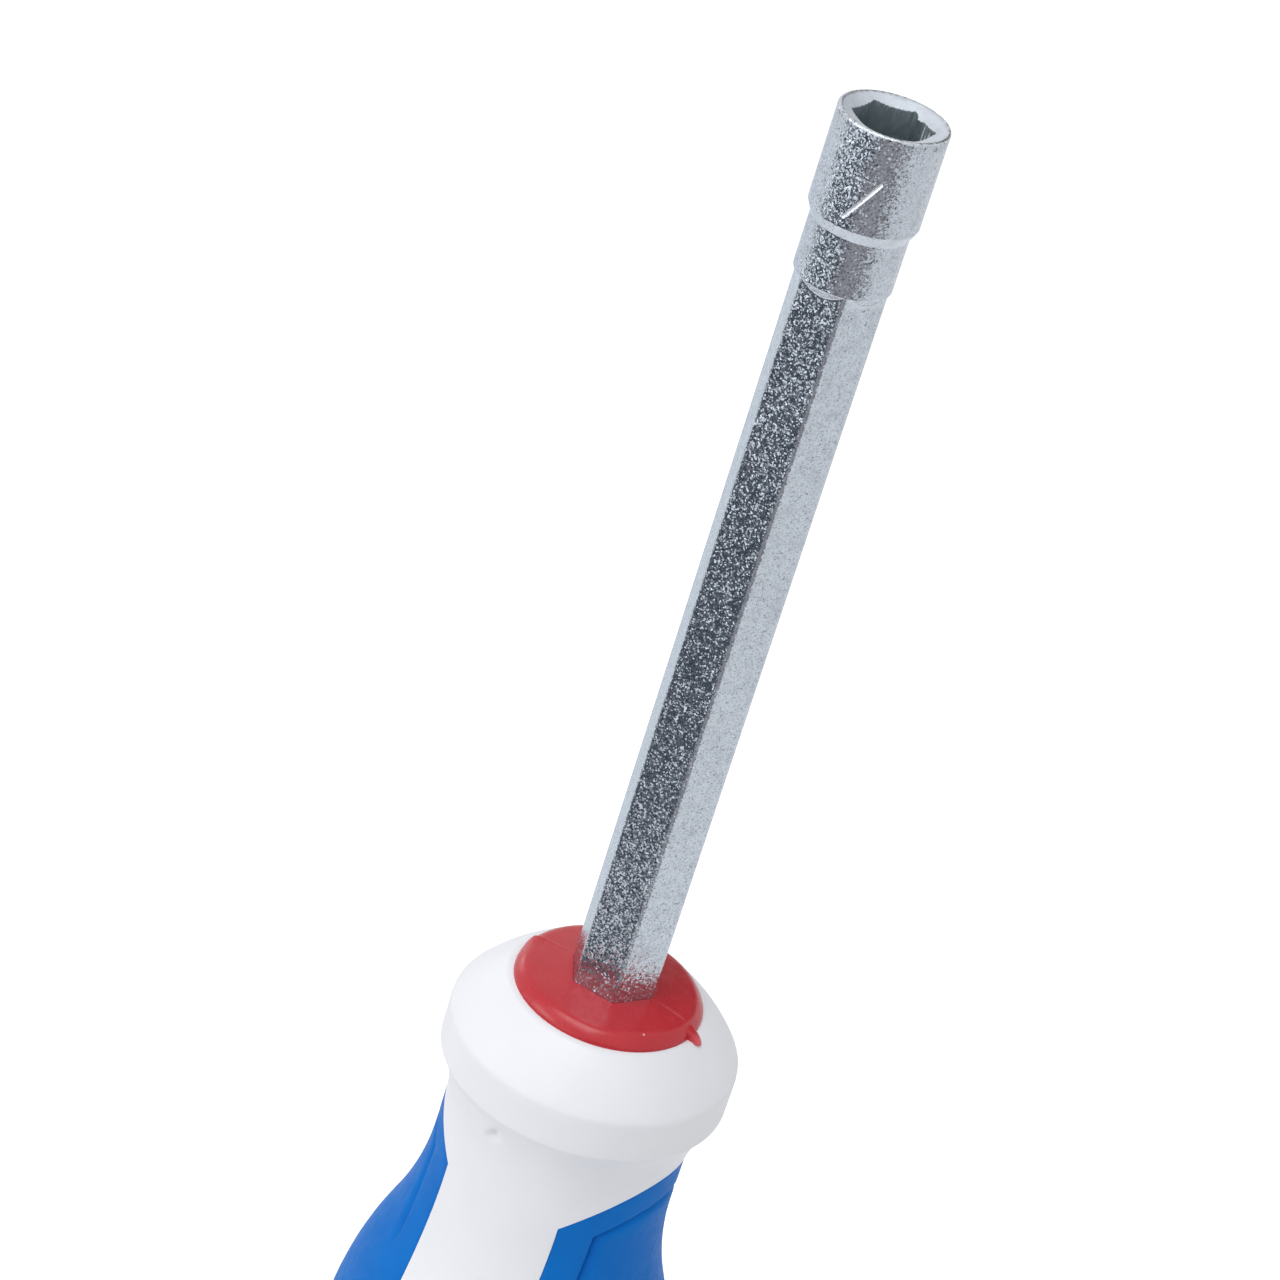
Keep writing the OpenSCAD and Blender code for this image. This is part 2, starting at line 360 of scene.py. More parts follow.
def waver(angles):
    """A smooth uneven line round the recess, the same on every run."""
    total = np.zeros_like(angles)
    draw = np.random.default_rng(LIP_SEED)
    for count in LIP_WAVES:
        total += draw.normal() * np.sin(count * angles + draw.uniform(0, 2 * np.pi)) / math.sqrt(count)
    return LIP_WAVER * total


def blade_angles():
    """Angles of the columns round the blade, closer together at the size mark."""
    start, stop = MARK_TURN - MARK_SPAN / 2, MARK_TURN + MARK_SPAN / 2
    marked = np.linspace(start, stop, MARK_COLUMNS, endpoint=False)
    plain = np.linspace(stop, start + 2 * np.pi, PLAIN_COLUMNS, endpoint=False)
    return np.concatenate([marked, plain])[None, :]


def mark_depths(angles, heights):
    """Depth of the size mark struck into the head, and how far a near-white highlight is painted in its
    bottom.
    """
    across = HEAD_R * turn_from(angles, MARK_TURN)
    top = MOUTH_Z - MARK_DROP
    stroke = to_segment(across, heights, (-MARK_W / 2, top - MARK_H), (MARK_W / 2, top))
    bar = to_segment(across, heights, (-MARK_W / 2, top), (MARK_W / 2, top))
    stroke_part = np.clip(1 - stroke / MARK_HALF_LINE, 0, 1)
    bar_part = np.clip(1 - bar / MARK_HALF_LINE, 0, 1)
    wear_and_painted_shine = np.clip(MARK_WORN_FROM - across / MARK_W, 0, MARK_WORN_MOST)
    # The stroke, and the bar more faintly where wear lets it show, are painted near-white as their
    # highlight
    painted_shine = np.minimum(MARK_EDGE * np.maximum(stroke_part, MARK_BAR_PAINTED_SHINE * wear_and_painted_shine * bar_part), 1)
    return MARK_DEPTH * np.maximum(stroke_part, MARK_BAR_SHARE * bar_part), painted_shine


def thin_rows(outline):
    """The outline with all its rows at the size mark, the neck's foot and bends, and few elsewhere."""
    top = MOUTH_Z - MARK_DROP + 2 * MARK_HALF_LINE
    foot = MOUTH_Z - MARK_DROP - MARK_H - 2 * MARK_HALF_LINE
    heights = outline[:, 1]
    keep = (heights > foot) & (heights < top) | (heights < NECK_FOOT_Z + NECK_ROWS_H)
    keep[1:-1] |= np.hypot(*np.diff(outline, 2, axis=0).T) > BEND_KEPT
    keep[::STRAIGHT_STEP] = True
    keep[-1] = True
    return outline[keep]


def turned_outline():
    """Neck and head in section, from just below the neck up to the edge of the mouth."""
    outline = np.concatenate([
        [(BAR_HALF - TURNED_START_IN, FLATS_Z - TURNED_START_DROP)],
        [(NECK_R, NECK_FOOT_Z)],
        [(NECK_R, NECK_HEAD_Z)],
        [(HEAD_R, HEAD_FOOT_Z)],
        arc((HEAD_R - RIM_ROUND, MOUTH_Z - RIM_ROUND), RIM_ROUND, 0, 90, RIM_STEPS),
        [(HEAD_R - RIM_ROUND - RIM_FLAT, MOUTH_Z)],
    ])
    return thin_rows(soften(outline, MARK_STEP, CREASE_W))


def shank_rings(angles, bar):
    """Rings of the hex bar up to the neck, and the grain of its flats and corners."""
    shown = np.linspace(COLLAR_TOP_Z - SHANK_BELOW_COLLAR, FLATS_Z - SHANK_BELOW_FLATS, SHANK_ROWS)
    heights = np.concatenate([[TAIL_Z], shown])[:, None]
    to_corner = np.abs((angles + HALF_FLAT_TURN) % (2 * HALF_FLAT_TURN) - HALF_FLAT_TURN)
    at_corner = np.clip((CORNER_TURN - to_corner) / CORNER_TURN * CORNER_RAMP, 0, 1)
    return ring_points(angles, bar, heights), 1 - (1 - CORNER_GRAIN) * at_corner


def head_rings(angles, bar, outline):
    """Rings of the neck and the head with its mark, and the grain and the painted highlight of each point.
    """
    radii, heights = outline[:, :1], outline[:, 1:]
    depth, painted_shine = mark_depths(angles, heights + 0 * angles)
    gap = bar - radii
    blended = 0.5 * (bar + radii + np.sqrt(gap**2 + NECK_BLEND_W**2))
    below_neck = heights < NECK_FOOT_Z + NECK_BLEND_H
    outside = np.where(below_neck, np.minimum(blended, np.maximum(bar, NECK_R)), radii)
    rings = ring_points(angles, outside - depth, heights)

    below_rim = heights < MOUTH_Z - RIM_ROUND
    slope = np.abs(np.gradient(outline[:, 0], outline[:, 1]))[:, None]
    conical = (slope > CONE_SLOPE) & below_rim
    blasted = np.where(conical, CONE_GRAIN, np.where(below_rim, 1, RIM_GRAIN))
    # The cones and the rim's crest are painted brighter as their highlight
    wear_and_painted_shine = np.where(conical, CONE_PAINTED_SHINE, RIM_PAINTED_SHINE * (heights > MOUTH_Z - RIM_ROUND / 2))
    return rings, (1 - painted_shine) * blasted, np.maximum(painted_shine, wear_and_painted_shine)


def burr(angles, heights):
    """Fine upright slivers left by the broach on the right rear wall of the recess."""
    total = 0
    for place, width, low, thick in BURRS:
        ridge = soft_step(angles - math.radians(place), math.radians(width))
        total = total + thick * ridge * soft_step(heights - (MOUTH_Z - low), BURR_HALF_H)
    return total


def recess_rings(angles, rim_r):
    """Rings of the mouth, of the recess's walls and of the bore behind, and the slivers on the walls."""
    hexed = hexagon(angles - RECESS_TURN, RECESS_HALF, RECESS_ROUND)
    lip = hexagon(angles - RECESS_TURN, RECESS_HALF, LIP_ROUND) + waver(angles)
    lip = lip - FLAP_W * soft_step(angles - FLAP_TURN, FLAP_SPAN)
    sink = rim_r + MOUTH_SHARES * (lip - rim_r)
    sink_z = MOUTH_Z - (rim_r - sink) * math.tan(MOUTH_SLOPE)
    mouth = ring_points(angles, sink, sink_z)

    floor_z = MOUTH_Z - RECESS_DEPTH
    lip_z = sink_z[-1:]
    wall_z = lip_z - LIP_EDGE_H + RECESS_SHARES * (floor_z - lip_z + LIP_EDGE_H)
    slivers = burr(angles, wall_z)
    walls = ring_points(angles, hexed + (lip - hexed) * np.exp(-LIP_FADE * RECESS_SHARES) - slivers, wall_z)

    ledge = ring_points(angles, hexed + LEDGE_SHARES * (STUD_BORE_R - hexed), floor_z)
    bore = ring_points(angles, STUD_BORE_R, floor_z - STUD_BORE_LEN * BORE_SHARES)
    return mouth, walls, np.concatenate([ledge, bore]), slivers


def blade_rings():
    """Rings of the blade from its tail over the head into the recess, and the finish at each point, with
    where a highlight is painted.
    """
    angles = blade_angles()
    bar = hexagon(angles, BAR_HALF, BAR_CORNER_ROUND)
    outline = turned_outline()
    shank, flat_grain = shank_rings(angles, bar)
    head, head_grain, head_painted_shine = head_rings(angles, bar, outline)
    mouth, walls, bore, slivers = recess_rings(angles, outline[-1, 0])
    rings = np.concatenate([shank, head, mouth, walls, bore])
    ends = np.cumsum([len(part) for part in (shank, head, mouth, walls)])
    head_rows, mouth_rows, wall_rows = (slice(*pair) for pair in zip(ends, ends[1:]))

    finish = {name: np.zeros(rings.shape[:2]) for name in ("grain", "painted_shine", "mouth", "recess")}
    finish["grain"][:len(shank)] = flat_grain
    finish["grain"][head_rows] = head_grain
    finish["grain"][mouth_rows] = MOUTH_GRAIN
    finish["painted_shine"][head_rows] = head_painted_shine
    # The countersunk mouth is painted a little brighter as its highlight
    finish["painted_shine"][mouth_rows] = MOUTH_PAINTED_SHINE
    # Burr slivers are painted near-white as their highlight, more where they stand thicker
    finish["painted_shine"][wall_rows] = np.clip(slivers / BURR_BRIGHT_T, 0, BURR_PAINTED_SHINE)
    finish["mouth"][mouth_rows] = 1
    finish["recess"][mouth_rows.stop:] = 1
    return rings, finish


def make_blade(material):
    """The blade, with its finish kept as values on its points for the material to read."""
    rings, finish = blade_rings()
    bore_foot = (0, 0, rings[-1, 0, 2])
    points, faces = skin(rings, (0, 0, TAIL_Z), bore_foot)
    blade = mesh_piece("blade", points, faces, material, "socket_blade")
    at_poles = [0, 0]
    for name, values in finish.items():
        made = blade.data.attributes.new(name, "FLOAT", "POINT")
        made.data.foreach_set("value", np.append(values.ravel(), at_poles).astype(np.float32))


# Red core with its collar

CORE_COLUMNS = 480
CORE_CROWDING = 0.25
CORE_END_SKIN = 1
COLLAR_STEP = 0.05
COLLAR_ROW_STEP = 2
COLLAR_TOP_ROWS = 34
BLADE_GAP = 0.02
HOLE_DROPS = (0.3, 3)
PARTING_H = 0.05
PARTING_W = 0.16
PARTING_MIDDLE_R = 7.6
PARTING_REACH = 2.9
FLASH_H = 0.34
FLASH_W = 2.0
FLASH_STEP = 0.18
FLASH_IN = 2
FLASH_LIFT = 0.5
STUB_LEN = 1.3
STUB_HALF_W = 0.66
STUB_SAG = 0.3
STUB_TOP = 0.72
STUB_IN = 1.6
COLLAR_MARK_RAMP = 1.2


def collar_rim():
    """The collar's side and its rounded crest in section, from the seat inwards."""
    crest_r, crest_z = COLLAR_R - COLLAR_SLOPE_W, COLLAR_TOP_Z - COLLAR_FALL
    rim = soften([
        (COLLAR_R - COLLAR_FOOT_IN, SEAT_Z),
        (COLLAR_R, SEAT_Z + COLLAR_FOOT_H),
        (crest_r, crest_z),
        (crest_r - COLLAR_SLOPE_W, crest_z + COLLAR_FALL * COLLAR_SLOPE_W / (crest_r - NECK_R)),
    ], COLLAR_STEP, COLLAR_ROUND)
    return rim[::COLLAR_ROW_STEP]


def collar_marks(angles, radii, heights):
    """Moulding marks on the collar: its parting line, a bump of flash and the stub of the gate."""
    x, y = radii * np.cos(angles), radii * np.sin(angles)
    rise = np.clip((heights - SEAT_Z) / (COLLAR_TOP_Z - COLLAR_FALL - SEAT_Z), 0, 1)
    clear_of_bar = soft_step(radii - PARTING_MIDDLE_R, PARTING_REACH)
    line = PARTING_H * soft_step(y, PARTING_W) * clear_of_bar * rise
    flash = np.where(y > 0, soft_step(y, FLASH_STEP), soft_step(y, FLASH_W))
    flash = flash * (x < 0) * np.clip((radii - COLLAR_R + FLASH_IN) / COLLAR_MARK_RAMP, 0, 1)
    stub = np.sqrt(np.maximum(1 - (y / STUB_HALF_W) ** 2, 0))
    stub = stub * (x > 0) * np.clip((radii - COLLAR_R + STUB_IN) / COLLAR_MARK_RAMP, 0, 1)
    low = np.sqrt(np.clip(1 - (rise / STUB_TOP) ** 2, 0, 1))
    radii = radii + FLASH_H * flash * rise + STUB_LEN * stub * low
    return radii, heights + line + FLASH_LIFT * FLASH_H * flash * rise - STUB_SAG * stub * low


def make_core(material):
    """The core: its hidden column, the collar and the hole that the blade stands in."""
    turn = np.linspace(0, 2 * np.pi, CORE_COLUMNS, endpoint=False)[None, :]
    angles = turn - CORE_CROWDING * np.sin(2 * turn)
    bar = hexagon(angles, BAR_HALF, BAR_CORNER_ROUND) + BLADE_GAP

    hidden = np.array([
        (CORE_END_R - CORE_END_SKIN, CORE_END_Z),
        (CORE_END_R - CORE_END_EDGE, CORE_END_Z),
        (CORE_END_R, CORE_END_Z + CORE_END_EDGE),
        (CORE_END_R, CORE_END_LEN),
        (COLUMN_R, CORE_END_LEN),
        (COLUMN_R, SEAT_Z),
        (COLLAR_R - COLLAR_SEAT_IN, SEAT_Z),
    ])
    column = ring_points(angles, hidden[:, :1], hidden[:, 1:])

    rim = collar_rim()
    rim_r, rim_z = rim[:, :1] + 0 * angles, rim[:, 1:] + 0 * angles
    inner_r, inner_z = rim_r[-1:], rim_z[-1:]
    share = np.linspace(0, 1, COLLAR_TOP_ROWS)[1:, None]
    top_r = inner_r + share * (bar - inner_r)
    climb = np.clip((inner_r - top_r) / (inner_r - NECK_R), 0, 1)
    top_z = inner_z + (COLLAR_TOP_Z - inner_z) * climb
    radii = np.concatenate([rim_r, top_r])
    heights = np.concatenate([rim_z, top_z])
    radii, heights = collar_marks(angles, radii, heights)
    collar = ring_points(angles, radii, heights)

    hole_z = np.array([*(COLLAR_TOP_Z - drop for drop in HOLE_DROPS), TAIL_Z])[:, None]
    hole = ring_points(angles, bar, hole_z)
    points, faces = skin(np.concatenate([column, collar, hole]), (0, 0, CORE_END_Z), (0, 0, TAIL_Z))
    mesh_piece("collar_core", points, faces, material, "core")


# Handle body and grip pads share one grid, so that their edges meet

FINE = 0.05
BAND_FOOT_CREASE = 0.15
BAND_TOP_CREASE = 0.6
BUTT_STEPS = 60
TAIL_STEPS = 200
SWELL_STEPS = 120
FLANGE_STEPS = 80
BUTT_ROWS = 30
BUTT_CROWDING = 1.6
NECK_SHARES = np.array([0.03, 0.08, 0.16, 0.3, 0.45, 0.6, 0.8, 1])[:, None]
# Above this height the rows of the grid are level and follow the section
RING_TOP_Z = 95.8
RISE_GAP = 0.1
RISE_STEP = 3
PAD_END_ROUNDS = 40
# How much of the height from a pad's sloping end counts as distance from it
PAD_END_SHARE = 0.88
# Distance of each column and row from the edge of its pad, closer together at the edge and at the line
EDGE_PLACES = (0, 0.04, 0.1, 0.18, 0.3, 0.5, 0.9)
PAD_EDGE = np.array([
    *EDGE_PLACES, 1.5, 2.1, 2.6, 2.9, 3.04, 3.1, 3.14, 3.18, 3.22, 3.25,
    3.28, 3.32, 3.38, 3.46, 3.56, 3.68, 3.82, 4.0, 4.2, 4.5,
])
PAD_ROWS_EDGE = np.array([
    *EDGE_PLACES, 1.6, 2.4, 3.0, 3.4, 3.56, 3.62, 3.67, 3.71, 3.76, 3.8,
    3.84, 3.9, 3.98, 4.08, 4.2, 4.36, 4.55, 4.8, 5.2,
])[:, None]
PAD_COLUMNS_MIDDLE = 25
PAD_ROWS_MIDDLE = 76
PAD_MIDDLE = np.linspace(-1, 1, PAD_COLUMNS_MIDDLE)[1:-1]
PAD_OFFSET = np.concatenate([PAD_EDGE, np.full(len(PAD_MIDDLE), PAD_EDGE[-1]), PAD_EDGE[::-1]])
PAD_SHARE = np.concatenate([np.full(len(PAD_EDGE), -1.0), PAD_MIDDLE, np.full(len(PAD_EDGE), 1.0)])
STRIP_EDGE = np.array([0.003, 0.008, 0.016, 0.03])


def strip_shares(columns, cut):
    """Places of the columns across a white strip, with some of the even ones cut for closer edge ones."""
    return np.concatenate([STRIP_EDGE, np.linspace(0, 1, columns)[cut:-cut], 1 - STRIP_EDGE[::-1]])


FRONT_STRIP = strip_shares(columns=88, cut=4)
BACK_STRIP = strip_shares(columns=36, cut=2)
RIGHT_PAD = slice(0, len(PAD_OFFSET))
LEFT_PAD = slice(len(PAD_OFFSET) + len(BACK_STRIP), 2 * len(PAD_OFFSET) + len(BACK_STRIP))


def handle_section():
    """Outside of the handle in section, from the butt to the seat, with its creases softened."""
    tail_rise = SWELL_Z - BUTT_ROUND
    tail_drop = SWELL_R - TAIL_R
    tail_arc_r = (tail_rise**2 + tail_drop**2) / 2 / tail_drop
    tail_a = math.degrees(math.asin(tail_rise / tail_arc_r))
    flare_a = math.degrees(FLARE_A)
    under_a = math.degrees(UNDER_A)
    middle = np.array([(SEAT_R + BAND_R) / 2, (SEAT_Z + BAND_TOP_Z) / 2])
    run = np.array([BAND_R - SEAT_R, BAND_TOP_Z - SEAT_Z])
    back = math.sqrt(DOME_R**2 / (run @ run) - 0.5**2)
    dome = middle + back * np.array([run[1], -run[0]])
    dome_from = math.degrees(math.atan2(BAND_TOP_Z - dome[1], BAND_R - dome[0]))
    dome_to = math.degrees(math.atan2(SEAT_Z - dome[1], SEAT_R - dome[0]))
    band_middle = [(BAND_R, (BAND_FOOT_Z + BAND_TOP_Z) / 2)]
    lower = np.concatenate([
        arc((TAIL_R - BUTT_ROUND, BUTT_ROUND), BUTT_ROUND, -90, 0, BUTT_STEPS),
        arc((SWELL_R - tail_arc_r, SWELL_Z), tail_arc_r, -tail_a, 0, TAIL_STEPS),
        arc((SWELL_R - SWELL_ARC_R, SWELL_Z), SWELL_ARC_R, 0, flare_a, SWELL_STEPS),
        arc((WAIST_R + FLARE_R, WAIST_FOOT_Z), FLARE_R, 180 + flare_a, 180, SWELL_STEPS),
        [(WAIST_R, WAIST_TOP_Z)],
        arc((WAIST_R + UNDER_R, WAIST_TOP_Z), UNDER_R, 180, 180 - under_a, FLANGE_STEPS),
        band_middle,
    ])
    upper = np.concatenate([band_middle, arc(dome, DOME_R, dome_from, dome_to, FLANGE_STEPS)])
    lower = soften(lower, FINE, BAND_FOOT_CREASE)
    upper = soften(upper, FINE, BAND_TOP_CREASE)
    return np.concatenate([lower, upper[1:]])


SECTION = handle_section()


def handle_r(heights):
    """Radius of the handle at a height."""
    return np.interp(heights, SECTION[:, 1], SECTION[:, 0])


def pad_half_angle(heights, offset):
    """Angle from the middle of a pad to a line at an offset from its upright edge."""
    level = np.clip(heights, PAD_LOW_Z, PAD_TOP_Z)
    return np.arccos((STRIP_HALF + offset) / handle_r(level))


def ring_angles(heights):
    """Angle of every grid column at the heights given, rows by columns."""
    pad = PAD_SHARE * pad_half_angle(heights[:, RIGHT_PAD], PAD_OFFSET)
    back = slice(RIGHT_PAD.stop, LEFT_PAD.start)
    front = slice(LEFT_PAD.stop, None)
    back_edge = pad_half_angle(heights[:, back], 0)
    front_edge = pad_half_angle(heights[:, front], 0)
    return np.concatenate([
        pad,
        back_edge + BACK_STRIP * (np.pi - 2 * back_edge),
        np.pi + pad,
        np.pi + front_edge + FRONT_STRIP * (np.pi - 2 * front_edge),
    ], axis=1)


def pad_end(corner_z, up):
    """Height of the sloping pad edge at every grid column; strips take the corner's height."""
    columns = 2 * len(PAD_OFFSET) + len(BACK_STRIP) + len(FRONT_STRIP)
    ends = np.full((1, columns), float(corner_z))
    for _ in range(PAD_END_ROUNDS):
        x = np.abs(handle_r(ends) * np.cos(ring_angles(ends)))
        for pad in (RIGHT_PAD, LEFT_PAD):
            ends[:, pad] = corner_z + up * (x[:, pad] - STRIP_HALF) * math.tan(PAD_SLOPE)
    return ends


def handle_grid():
    """Heights, angles and radii of the outside grid, and the rows that the pads take."""
    low, high = pad_end(PAD_LOW_Z, -1), pad_end(PAD_TOP_Z, 1)
    butt_rows = low * np.linspace(0, 1, BUTT_ROWS)[:-1, None] ** BUTT_CROWDING
    inner_low, inner_high = low + PAD_ROWS_EDGE[-1], high - PAD_ROWS_EDGE[-1]
    middle = np.linspace(0, 1, PAD_ROWS_MIDDLE)[1:-1, None]
    pad_rows = np.concatenate([
        low + PAD_ROWS_EDGE,
        inner_low + middle * (inner_high - inner_low),
        (high - PAD_ROWS_EDGE)[::-1],
    ])
    neck_rows = high + NECK_SHARES * (RING_TOP_Z - high)
    rise = SECTION[SECTION[:, 1] > RING_TOP_Z + RISE_GAP][::RISE_STEP]
    heights = np.concatenate([butt_rows, pad_rows, neck_rows, rise[:, 1:] + 0 * high])
    first = len(butt_rows)
    return heights, ring_angles(heights), handle_r(heights), slice(first, first + len(pad_rows))


GRID_Z, GRID_A, GRID_R, PAD_ROWS = handle_grid()


def pad_distance(z, a, r):
    """About how far each point of a pad lies from the pad's edge, over the surface."""
    sideways = r * np.minimum(np.abs(a - a[:, :1]), np.abs(a - a[:, -1:]))
    upwards = PAD_END_SHARE * np.minimum(z - z[:1], z[-1:] - z)
    return np.minimum(sideways, upwards)


def line_depth(x, z):
    """Depth of the line cut in a pad, seen from the front: steep outside, easing inside."""
    turn = (LINE_X, LINE_TOP_Z)
    slope = (math.cos(PAD_SLOPE), math.sin(PAD_SLOPE))
    foot = (LINE_X, LINE_TOP_Z - LINE_LEG)
    reach = (LINE_X + LINE_REACH * slope[0], LINE_TOP_Z + LINE_REACH * slope[1])
    to_leg = to_segment(x, z, turn, foot)
    to_slope = to_segment(x, z, turn, reach)
    outside_leg = x < LINE_X
    above = (z - LINE_TOP_Z) * slope[0] - (x - LINE_X) * slope[1] > 0
    outer = np.where(to_leg < to_slope, outside_leg, above)
    distance = np.minimum(to_leg, to_slope)
    wall = np.clip(1 - distance / LINE_WALL_W, 0, 1)
    ease = np.clip(1 - distance / LINE_EASE_W, 0, 1) ** 2
    return LINE_DEPTH * np.where(outer, wall, ease)


def make_pad(name, columns, material, node):
    """One grip pad: its outside with the cut line, its inside and the rim between them."""
    z, a, r = GRID_Z[PAD_ROWS, columns], GRID_A[PAD_ROWS, columns], GRID_R[PAD_ROWS, columns]
    x = np.abs(r * np.cos(a))
    outer = ring_points(a, r - edge_drop(pad_distance(z, a, r), PAD_EDGE_ROUND) - line_depth(x, z), z)
    inner = ring_points(a, r - PAD_T + SEAM_GAP, z)
    rows, count = z.shape
    size = rows * count
    points = np.concatenate([outer.reshape(-1, 3), inner.reshape(-1, 3)])
    faces = ring_faces(rows, count, wrap=False)
    faces += [tuple(size + index for index in face[::-1]) for face in ring_faces(rows, count, wrap=False)]
    for pair in rim_pairs(rows, count):
        here, after = (row * count + column for row, column in pair)
        faces.append((after, here, size + here, size + after))
    mesh_piece(name, points, faces, material, node)


def dent(angles, heights):
    """Depth of the small dent left in the neck under the flange."""
    across = DENT_NECK_R * turn_from(angles, DENT_TURN)
    up = heights - (COLLAR_TOP_Z - DENT_DROP)
    along = across * math.cos(DENT_LEAN) + up * math.sin(DENT_LEAN)
    aside = up * math.cos(DENT_LEAN) - across * math.sin(DENT_LEAN)
    reach = np.where(aside > 0, DENT_WALL_W, DENT_EASE_W)
    return DENT_DEPTH * np.exp(-(along / DENT_HALF_LEN) ** 2) * soft_step(aside, reach)


def shell_faces(rows, columns):
    """Quads all round the body, over the outside and back through its hole, but not over the pads."""
    pad_cells = set()
    for pad in (RIGHT_PAD, LEFT_PAD):
        pad_cells.update((row, column) for row in range(PAD_ROWS.start, PAD_ROWS.stop - 1)
                         for column in range(pad.start, pad.stop - 1))
    faces = []
    for row in range(rows):
        low, high = row * columns, (row + 1) % rows * columns
        for column in range(columns):
            if (row, column) in pad_cells:
                continue
            after = (column + 1) % columns
            faces.append((low + column, low + after, high + after, high + column))
    return faces


def pocket_walls(deep, wide, pad, first, columns):
    """Quads from the edge of a pad hollow on the outside down to the edge of its floor."""
    faces = []
    for pair in rim_pairs(deep, wide):
        outer = [(PAD_ROWS.start + row) * columns + pad.start + column for row, column in pair]
        inner = [first + row * wide + column for row, column in pair]
        faces.append((outer[0], outer[1], inner[1], inner[0]))
    return faces


def make_body(material):
    """The handle body: its outside with the dent, the hole for the core and a hollow for each pad."""
    columns = GRID_Z.shape[1]
    outside = ring_points(GRID_A, GRID_R - dent(GRID_A, GRID_Z), GRID_Z)
    inner_line = np.array([
        (SEAT_R - SEAT_LIP, SEAT_Z),
        (COLUMN_R + SEAM_GAP, SEAT_Z),
        (COLUMN_R + SEAM_GAP, CORE_END_LEN),
        (CORE_END_R + SEAM_GAP, CORE_END_LEN),
        (CORE_END_R + SEAM_GAP, BUTT_HOLE_EDGE),
        (CORE_END_R + BUTT_HOLE_EDGE, 0),
        (TAIL_R - BUTT_ROUND - BUTT_FLAT_IN, 0),
    ])
    inside = ring_points(GRID_A[:1], inner_line[:, :1], inner_line[:, 1:])
    points = [outside.reshape(-1, 3), inside.reshape(-1, 3)]
    faces = shell_faces(len(outside) + len(inside), columns)
    for pad in (RIGHT_PAD, LEFT_PAD):
        floor = ring_points(GRID_A[PAD_ROWS, pad], GRID_R[PAD_ROWS, pad] - PAD_T, GRID_Z[PAD_ROWS, pad])
        first = sum(len(part) for part in points)
        points.append(floor.reshape(-1, 3))
        deep, wide = floor.shape[:2]
        faces += ring_faces(deep, wide, first, wrap=False)
        faces += pocket_walls(deep, wide, pad, first, columns)
    mesh_piece("handle_shell", np.concatenate(points), faces, material, "handle_body")


# Materials, with places and grain sizes in metres

class Graph:
    """Short way to write the nodes of one material."""

    def __init__(self, name):
        self.material = bpy.data.materials.new(name)
        self.material.use_nodes = True
        self.tree = self.material.node_tree
        self.shader = self.tree.nodes["Principled BSDF"]
        self.output = self.tree.nodes["Material Output"]

    def node(self, kind, inputs=(), **settings):
        """A new node of that kind, with its settings made and its inputs fed."""
        made = self.tree.nodes.new(kind)
        for name, value in settings.items():
            setattr(made, name, value)
        for name, value in dict(inputs).items():
            self.feed(made.inputs[name], value)
        return made

    def feed(self, socket, value):
        """Link a socket to another node's output, or give it a fixed value."""
        if isinstance(value, bpy.types.NodeSocket):
            self.tree.links.new(value, socket)
        else:
            socket.default_value = value

    def set(self, **values):
        """Feed inputs of the surface shader, with _ for each space in their names."""
        for name, value in values.items():
            self.feed(self.shader.inputs[name.replace("_", " ")], value)

    def show(self, shader):
        """Let the surface show a shader other than its own."""
        self.tree.links.new(shader.outputs[0], self.output.inputs["Surface"])

    def place(self):
        """Where a point lies on the part."""
        return self.node("ShaderNodeTexCoord").outputs["Object"]

    def distance(self, place):
        """Distance from a place on the part."""
        inputs = {0: self.place(), 1: place}
        return self.node("ShaderNodeVectorMath", inputs, operation="DISTANCE").outputs["Value"]

    def noise(self, size, detail=2.0, roughness=0.5):
        """Noise of about that grain size, centred on a half."""
        return self.node("ShaderNodeTexNoise", {
            "Vector": self.place(), "Scale": 1 / size, "Detail": detail, "Roughness": roughness,
        }).outputs["Fac"]

    def spread(self, value, low, high, to_low=0.0, to_high=1.0):
        """The range from low to high spread over another range, and held at its ends."""
        return self.node("ShaderNodeMapRange", {
            "Value": value, "From Min": low, "From Max": high, "To Min": to_low, "To Max": to_high,
        }).outputs["Result"]

    def uneven(self, size, least, most):
        """A value that wanders between two others over patches of about that size."""
        return self.spread(self.noise(size, detail=3.0), low=0.3, high=0.7, to_low=least, to_high=most)

    def math(self, operation, first, second=0.0):
        return self.node("ShaderNodeMath", {0: first, 1: second}, operation=operation).outputs[0]

    def vector(self, operation, first, second=(0, 0, 0)):
        return self.node("ShaderNodeVectorMath", {0: first, 1: second}, operation=operation).outputs[0]

    def scaled(self, vector, scale):
        inputs = {0: vector, "Scale": scale}
        return self.node("ShaderNodeVectorMath", inputs, operation="SCALE").outputs[0]

    def mix(self, share, first, second):
        made = self.node("ShaderNodeMix", data_type="RGBA")
        for socket, value in ((made.inputs[0], share), (made.inputs[6], first), (made.inputs[7], second)):
            self.feed(socket, value)
        return made.outputs[2]

    def bump(self, height, strength, distance):
        inputs = {"Height": height, "Strength": strength, "Distance": distance}
        return self.node("ShaderNodeBump", inputs).outputs["Normal"]


STEEL = (0.55, 0.60, 0.665, 1)
STEEL_DULL = (0.47, 0.51, 0.565, 1)
STEEL_PIT = (0.34, 0.38, 0.43, 1)
# Near-white steel, painted on the mark, rim, cones, mouth and burr slivers as their highlight
STEEL_PAINTED_HIGHLIGHT = (0.93, 0.94, 0.96, 1)
STEEL_DEEP = (0.37, 0.44, 0.47, 1)
STEEL_ROUGH = (0.14, 0.25)
# Roughness added where the near-white highlight is painted
PAINTED_SHINE_ROUGH = 0.3
MOUTH_ROUGH = 0.38
RECESS_ROUGH = 0.32
FACET = 0.00015
FACET_TILT = 0.14
FACET_TILT_FAR = 0.14
